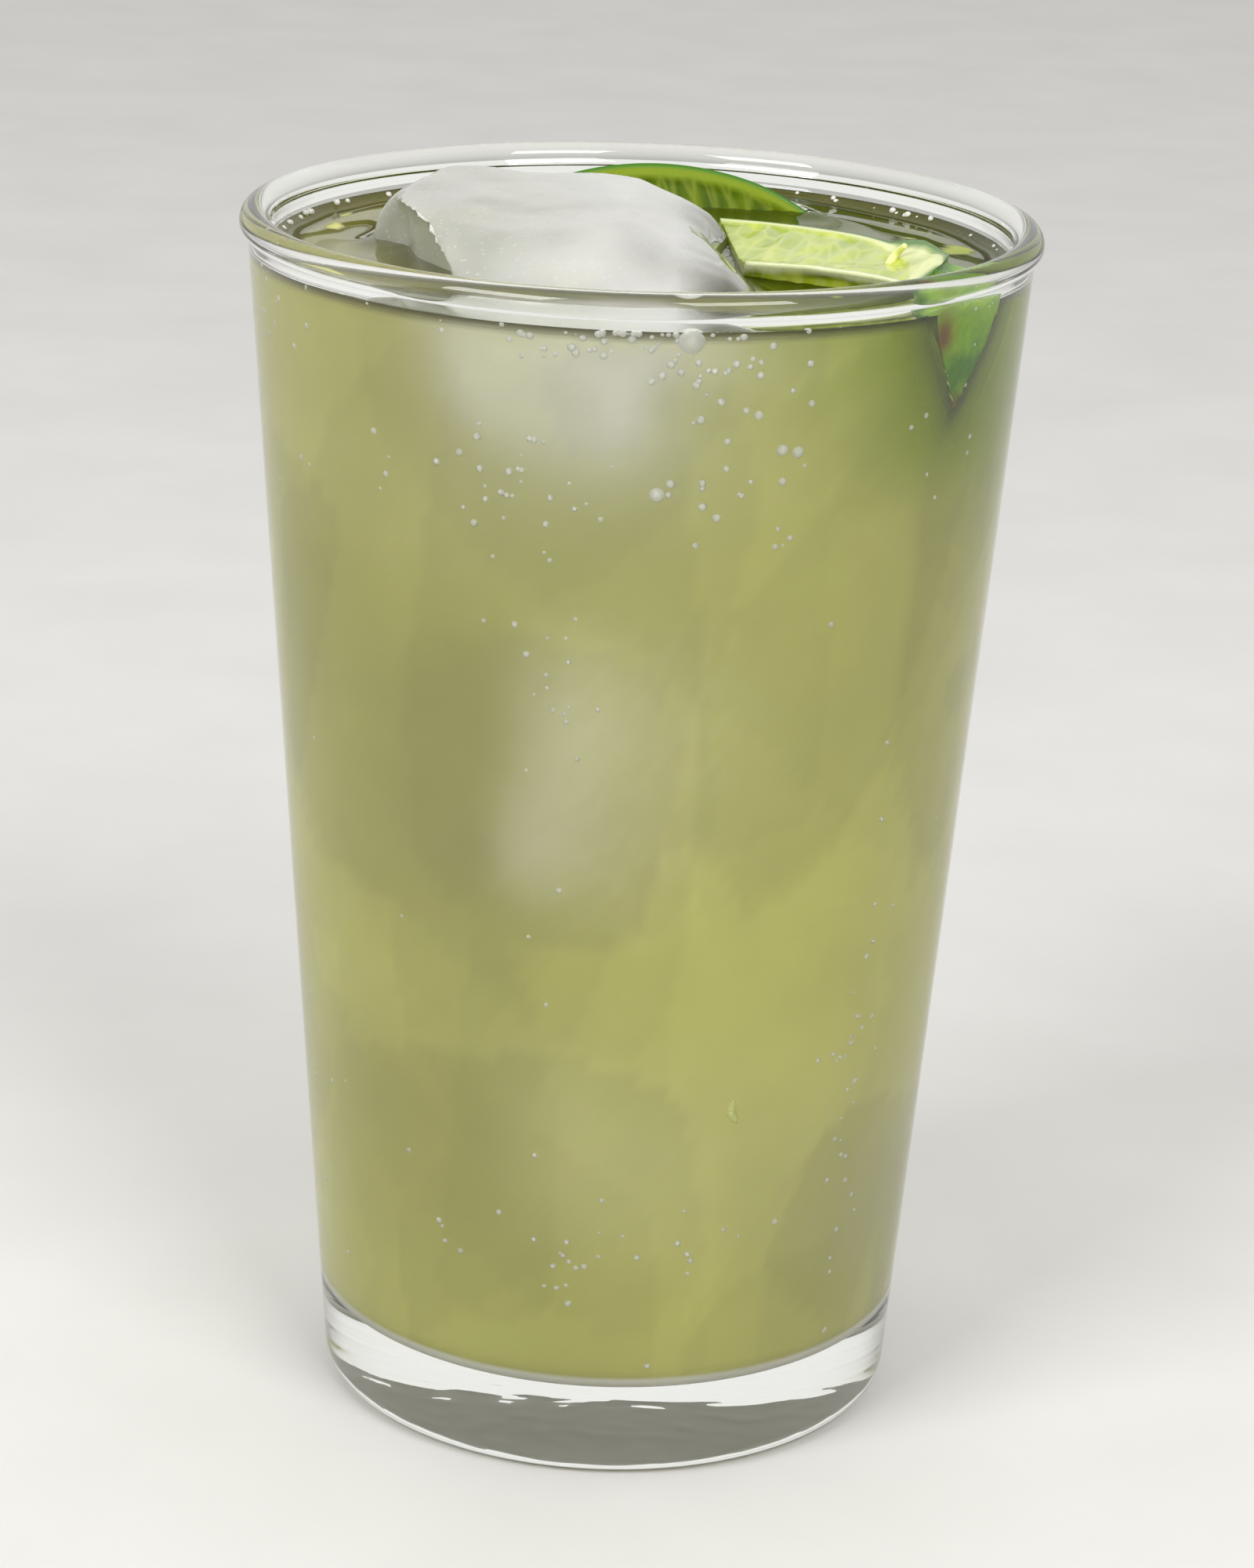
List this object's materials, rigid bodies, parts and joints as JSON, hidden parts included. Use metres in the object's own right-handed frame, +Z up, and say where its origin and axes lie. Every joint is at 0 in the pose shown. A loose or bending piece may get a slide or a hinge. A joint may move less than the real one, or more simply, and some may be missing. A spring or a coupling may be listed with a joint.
{
  "type": "paloma cocktail in a tumbler",
  "caption": "A cloudy pale green lime drink filled nearly to the beaded rim of a tapered clear tumbler, with a frosted ice block and lime wedges breaking its surface",
  "frame": {"origin": "centre of the foot of the glass, on the surface it stands on", "axes": "+Z up along the glass, -Y towards the viewer of the shown side, +X to that viewer's right"},
  "size_m": [0.077, 0.077, 0.1218],
  "materials": {
    "glass": "clear, polished",
    "drink": "cloudy liquid",
    "ice": "frosted, wet",
    "lime": "moist"
  },
  "bodies": {
    "root": {"glass": "glass", "drink": "drink", "ice": "ice", "lime_chunk": "lime", "lime_back": "lime"}
  },
  "joints": []
}
